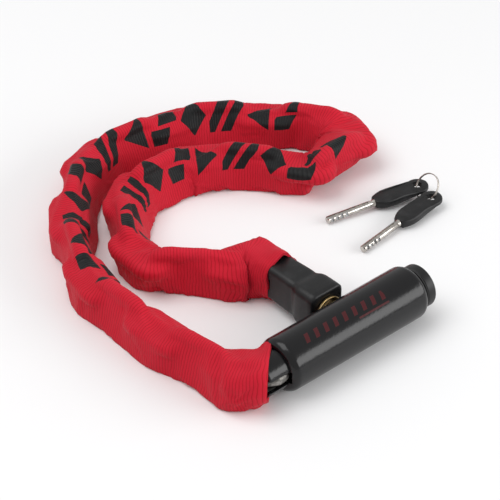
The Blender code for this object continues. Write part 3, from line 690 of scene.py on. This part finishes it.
def sleeve_piece(name, points, first, last, step):
    """A stretch of the tube as a closed double wall with its own UVs."""
    around = np.roll(points, -1, 1) - np.roll(points, 1, 1)
    along = np.gradient(points, axis=0)
    normals = np.cross(along, around)
    normals /= np.maximum(np.linalg.norm(normals, axis=2, keepdims=True), 1e-9)
    outward = points - points.mean(1, keepdims=True)
    if (normals * outward).sum() < 0:
        normals = -normals
    rings = np.arange(first, last + 1)
    hem = np.minimum(rings, len(points) - 1 - rings) * step < HEM_WIDTH
    outer = points[first:last + 1] + (HEM_T * hem)[:, None, None] * normals[first:last + 1]
    inner = outer - (SLEEVE_T + 2 * HEM_T * hem)[:, None, None] * normals[first:last + 1]
    rows, sides = outer.shape[:2]
    vertices = np.concatenate([outer.reshape(-1, 3), inner.reshape(-1, 3)]) * MM
    faces, uvs = [], []

    def uv(i, k):
        return ((k / sides - 0.5) * SLEEVE_GIRTH / 100 + 0.5, (first + i) * step / 100)

    def index(wall, i, k):
        return wall * rows * sides + i * sides + k % sides

    for wall in (0, 1):
        for i in range(rows - 1):
            for k in range(sides):
                ring = [(i, k), (i, k + 1), (i + 1, k + 1), (i + 1, k)]
                ring = ring if wall == 0 else ring[::-1]
                faces.append([index(wall, *c) for c in ring])
                uvs += [uv(*c) for c in ring]
    for i, flip in ((0, False), (rows - 1, True)):
        for k in range(sides):
            ring = [(0, i, k + 1), (0, i, k), (1, i, k), (1, i, k + 1)]
            ring = ring[::-1] if flip else ring
            faces.append([index(w, a, b) for w, a, b in ring])
            uvs += [uv(a, b) for w, a, b in ring]
    mesh = bpy.data.meshes.new(name)
    mesh.from_pydata([tuple(v) for v in vertices], [], faces)
    layer = mesh.uv_layers.new(name="UVMap")
    layer.data.foreach_set("uv", np.array(uvs, np.float32).ravel())
    mesh.materials.append(LOOKS["sleeve_red"])
    mesh.shade_smooth()
    rims = {index(wall, i, k) for wall in (0, 1) for i in (0, rows - 1) for k in range(sides)}
    for edge in mesh.edges:
        edge.use_edge_sharp = edge.vertices[0] in rims and edge.vertices[1] in rims
    obj = bpy.data.objects.new(name, mesh)
    bpy.context.scene.collection.objects.link(obj)
    return obj


def ride_sleeve(pieces):
    """Stretches on the lock body ride on it; the others have their places baked into their meshes."""
    def point(c):
        return (c.x * MM, c.y * MM, LOCK.z * MM)

    replaced = {
        "sleeve_at_lock": ["sleeve_lock_end"],
        "sleeve_bend_1a": ["sleeve_flex_1"],
        "sleeve_left": ["sleeve_side"],
        "sleeve_bend_2a": ["sleeve_flex_2"],
        "sleeve_round": ["sleeve_shoulder", "sleeve_tip", "sleeve_inner"],
        "sleeve_at_head": ["sleeve_head_end"],
    }
    for name, nodes in replaced.items():
        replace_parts(pieces[name], *nodes)
    for name in ("sleeve_at_lock", "sleeve_left", "sleeve_round"):
        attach(pieces[name], "lock_body")
    for number, first in enumerate(FLEX_FIRST, 1):
        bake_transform(pieces[f"sleeve_bend_{number}a"])
        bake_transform(pieces[f"sleeve_bend_{number}b"])
    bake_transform(pieces["sleeve_at_head"])


# ---------------------------------------------------------------- lock body
def build_body():
    """The vinyl skin: one turned piece with soft shoulders, a neck and a hole for the head's pin."""
    neck_corner, shoulder, inside = 1.6, 5.5, 2.2
    profile = [(-NECK_LEN, NECK_R - inside)]
    profile += arc(-NECK_LEN + neck_corner, NECK_R - neck_corner, neck_corner, 180, 90)
    profile += [(-2.0, NECK_R)]
    profile += arc(shoulder, BODY_R - shoulder, shoulder, 170, 90, 12)
    profile += [(BODY_LEN * k / 8, BODY_R) for k in range(1, 8)]
    profile += arc(BODY_LEN - shoulder, BODY_R - shoulder, shoulder, 90, 5, 12)
    profile += [(BODY_LEN, 12.0), (BODY_LEN - 1.3, 12.0), (BODY_LEN - 4.5, BODY_R - inside),
                (6, BODY_R - inside), (3, NECK_R - inside)]
    body = mesh_object("vinyl_skin", place(turned(profile, closed=True), LOCK), "vinyl_black")
    side, up = NECK_R + 1, SLOT_HALF
    cut(body, box_mesh(LOCK - Vector((NECK_LEN + 3, side, up)), LOCK + Vector((7.7, side, up))))
    bore = turned([(0, 0), (0, BORE_R), (30, BORE_R), (30, 0)], 48)
    cut(body, place(bore, Vector((RIVET.x, LOCK.y, LOCK.z)), 90))
    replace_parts(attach(body, "lock_body"), "vinyl_jacket")

    floor, recess = BEZEL_LEN - 2.5, 12.2
    outline = [(1.3, 3.2), (1.3, BEZEL_R - 0.6), *arc(1.9, BEZEL_R - 0.6, 0.6, 180, 90, 5),
               *arc(BEZEL_LEN - 1.0, BEZEL_R - 1.0, 1.0, 90, 0, 8), (BEZEL_LEN, recess + 0.3),
               (BEZEL_LEN - 0.2, recess), (floor, recess), (floor, 3.2)]
    bezel = place(turned(outline, closed=True), LOCK + Vector((BODY_LEN, 0, 0)))
    bezel = mesh_object("bezel_ring", bezel, "boot_black")
    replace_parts(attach(bezel, "lock_body"), "keyway_bezel")


# ---------------------------------------------------------------- head
def rounded_rectangle(half_w, half_h, radius, steps=8):
    points = []
    for corner, (sx, sy) in enumerate(((1, 1), (-1, 1), (-1, -1), (1, -1))):
        for i in range(steps + 1):
            a = math.radians(90 * corner + 90 * i / steps)
            x, y = sx * (half_w - radius), sy * (half_h - radius)
            points.append((x + radius * math.cos(a), y + radius * math.sin(a)))
    return points


def build_head():
    """The boot with its stepped collar, the locking pin and its washer."""
    end = RIVET.y - LOCK.y + 8
    sections = [(19.7, 10.6, 11.6, 4.0), (20.0, 11.9, 12.9, 4.6), (20.9, 12.7, 13.7, 5.0),
                (24, 12.8, 13.8, 5.0), (29, 12.8, 13.8, 5.0), (33.5, 12.7, 13.7, 5.0),
                (35.6, 12.2, 13.4, 4.8), (37.2, 11.4, 12.9, 4.5), (38.8, 10.7, 12.5, 4.2),
                (40.4, 10.4, 12.3, 4.0), (42.0, 10.5, 12.5, 4.0), (46, 10.4, 12.5, 4.0),
                (56, 10.1, 12.2, 4.0), (70, 9.8, 11.9, 3.8), (end - 3, 9.6, 11.7, 3.6),
                (end - 1.5, 9.1, 11.2, 3.2)]
    base = Vector((RIVET.x, LOCK.y, LOCK.z))
    loops = [[base + Vector((u, y, v)) for u, v in rounded_rectangle(w, h, r)] for y, w, h, r in sections]
    boot = mesh_object("boot_shell", lofted(loops), "boot_black", 50)
    low, high = span("head_clevis")
    cut(boot, box_mesh(low - Vector((0.3, 0.3, 0.3)), high + Vector((0.3, 5, 0.3))), 50)
    cut(boot, place(turned([(15, 0), (15, 6.8), (25, 6.8), (25, 0)], 48), base, 90), 50)
    for reach, edge in ((12.75, 20.0), (12.75 + LINK_SWEEP, SWEEP_EDGE)):
        low = Vector((RIVET.x - 20, RIVET.y - reach, LOCK.z - SLOT_HALF))
        cut(boot, box_mesh(low, (RIVET.x + edge, RIVET.y + 14, LOCK.z + SLOT_HALF)), 50)
    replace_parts(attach(boot, "head"), "head_boot")

    pin = [(-7, 0), (-7, 4.8), *arc(-5.6, PIN_R - 1.4, 1.4, 170, 90, 6), (-2.8, PIN_R), (-2.8, 3.7),
           (2.8, 3.7), (2.8, PIN_R), (16.5, PIN_R), (30, PIN_R), (30, 0)]
    pin = mesh_object("plug_pin", place(turned(pin, 64), base, 90), "nickel")
    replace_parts(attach(pin, "head"), "locking_pin")
    washer = [(17.5, 6.8), (17.5, 9.2), *arc(17.9, 9.2, 0.4, 180, 90, 4), *arc(18.9, 9.2, 0.4, 90, 0, 4),
              (19.3, 6.8)]
    washer = mesh_object("pin_washer", place(turned(washer, 64, closed=True), base, 90), "brass")
    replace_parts(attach(washer, "head"), "head_washer")


# ---------------------------------------------------------------- keys
def key_frame(number):
    """A key's eye, and the turn that takes +X along the key and +Z up through its bow."""
    eye = Vector(joint(f"key_{number}_swing")["pos_m"]) / MM
    middle, _ = major_axis(f"key_{number}_blade")
    along = (middle - eye).normalized()
    side = Vector((0, 0, 1)).cross(along).normalized()
    turn = Matrix((along, side, along.cross(side))).transposed().to_4x4()
    return Matrix.Translation(eye) @ turn


def build_key(number):
    """A moulded bow with a crowned face, thinner round its eye, and a round blade with milled cuts."""
    turn = key_frame(number)
    shape = [(-EYE_R, 0)]
    for i in range(1, 13):
        a = math.radians(180 - 9 * i)
        shape.append((EYE_R * math.cos(a), EYE_R * math.sin(a)))
    shape += [(5.5, 7.1), (9, 6.75), (13, 6.7), (17, 6.95), (21, 7.2), (24.5, 7.0), (27.5, 6.2), (30, 5.1),
              (32, 4.0), (32.5, 3.2), (32.6, 0)]
    outline = shape + [(x, -w) for x, w in reversed(shape[1:-1])]
    loops = []
    half = ((0.4, 0.99), (0.75, 0.95), (0.94, 0.88), (1.0, 0.80))
    for z, k in [(-z, k) for z, k in reversed(half)] + list(half):
        loop = []
        for x, w in outline:
            thin = 1.55 + 1.2 * min(1.0, max(0.0, (x - 3.0) / 8.0)) ** 1.2
            loop.append((13 + (x - 13) * (0.86 + 0.14 * k), w * k, z * thin))
        loops.append(loop)
    bow = lofted(loops)
    bow.transform(turn)
    bow = mesh_object(f"key_{number}_grip", bow, "boot_black", 60)
    hole = turned([(-8, 0), (-8, EYE_HOLE_R), (8, EYE_HOLE_R), (8, 0)], 48)
    hole.transform(turn @ Matrix.Rotation(-math.pi / 2, 4, "Y"))
    cut(bow, hole, 60)
    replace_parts(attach(bow, f"key_{number}"), f"key_{number}_bow")

    neck_r = BLADE_R - 0.25
    blade = turned([(24.4, 0), (24.4, BLADE_R), (33.5, BLADE_R), (34.0, neck_r), (34.6, neck_r),
                    (35.1, BLADE_R), (52.6, BLADE_R), (BLADE_END - 0.6, BLADE_R), (BLADE_END, 1.7),
                    (BLADE_END, 0)], 48)
    blade.transform(turn)
    blade = mesh_object(f"key_{number}_shaft", blade, "nickel")
    groove = box_mesh((37, -0.5, 1.75), (BLADE_END + 2, 0.5, 4))
    groove.transform(turn)
    cut(blade, groove)
    for i, depth in enumerate((0.8, 1.25, 0.6, 1.0)):
        for side in (-1, 1):
            start = 52.8 + 3.5 * i
            bite = box_mesh((start, BLADE_R - depth, -4), (start + 2.1, 5, 4))
            bite.transform(turn @ Matrix.Rotation(0 if side > 0 else math.pi, 4, "X"))
            cut(blade, bite)
    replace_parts(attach(blade, f"key_{number}"), f"key_{number}_blade")


def build_ring():
    """The split ring: two turns of round wire."""
    points = np.array([v.co for v in NODES["key_ring"].data.vertices], float) / MM
    middle = points.mean(0)
    _, vectors = np.linalg.eigh(np.cov((points - middle).T))
    normal = Vector(vectors[:, 0])
    u, w = Vector(vectors[:, 2]), Vector(vectors[:, 1])
    per_turn, radius, wire = 72, 9.0, 0.36
    coil = []
    for i in range(per_turn * 2 - 4):
        a = 2 * math.pi * i / per_turn + 0.6
        rise = 0.76 * (i / per_turn - 1)
        outward = u * math.cos(a) + w * math.sin(a)
        centre = Vector(middle) + radius * outward + rise * normal
        coil.append([centre + wire * (math.cos(b) * normal + math.sin(b) * outward)
                     for b in (math.pi * j / 5 for j in range(10))])
    ring = mesh_object("split_ring", lofted(coil), "nickel", 60)
    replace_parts(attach(ring, "lock_body"), "key_ring")


# ---------------------------------------------------------------- stage
CAMERA_AZIMUTH = -41.65
CAMERA_ELEVATION = 37.0
CAMERA_DISTANCE = 1.416
CAMERA_LENS = 162.8
CAMERA_TARGET = Vector((78.7, 110.6, -17.0))


def build_camera():
    """Looks at a point on the table beside the lock body, from in front and above."""
    azimuth, elevation = math.radians(CAMERA_AZIMUTH), math.radians(CAMERA_ELEVATION)
    target = (LOCK + CAMERA_TARGET) * MM
    level = math.cos(elevation)
    towards = Vector((math.sin(azimuth) * level, -math.cos(azimuth) * level, math.sin(elevation)))
    data = bpy.data.cameras.new("camera")
    data.lens = CAMERA_LENS
    data.clip_end = 20.0
    camera = bpy.data.objects.new("camera", data)
    camera.location = target + CAMERA_DISTANCE * towards
    camera.rotation_euler = (-towards).to_track_quat("-Z", "Y").to_euler()
    bpy.context.scene.collection.objects.link(camera)
    bpy.context.scene.camera = camera


def area_light(name, place_m, aim_m, size, power):
    data = bpy.data.lights.new(name, "AREA")
    data.shape = "RECTANGLE"
    data.size, data.size_y = size
    data.energy = power
    lamp = bpy.data.objects.new(name, data)
    lamp.location = place_m
    lamp.rotation_euler = (Vector(aim_m) - Vector(place_m)).to_track_quat("-Z", "Y").to_euler()
    bpy.context.scene.collection.objects.link(lamp)


def build_stage():
    floor = bpy.data.meshes.new("floor")
    r = 6.0
    z = -0.0004
    floor.from_pydata([(-r, -r, z), (r, -r, z), (r, r, z), (-r, r, z)], [], [(0, 1, 2, 3)])
    floor.materials.append(LOOKS["floor"])
    obj = bpy.data.objects.new("floor", floor)
    bpy.context.scene.collection.objects.link(obj)
    world = bpy.data.worlds.new("studio")
    world.use_nodes = True
    world.node_tree.nodes["Background"].inputs["Color"].default_value = (1.0, 1.0, 1.0, 1.0)
    world.node_tree.nodes["Background"].inputs["Strength"].default_value = 0.62
    bpy.context.scene.world = world
    bpy.context.scene.view_settings.view_transform = "Standard"
    area_light("key", (-0.5, 0.35, 1.3), (0, 0, 0), (1.1, 1.1), 10.0)
    area_light("front", (0.85, -1.25, 0.55), (0, -0.12, 0), (1.6, 0.75), 15.0)


def main():
    make_looks()
    build_camera()
    build_stage()
    build_sleeve()
    build_body()
    build_head()
    build_key(1)
    build_key(2)
    build_ring()


main()
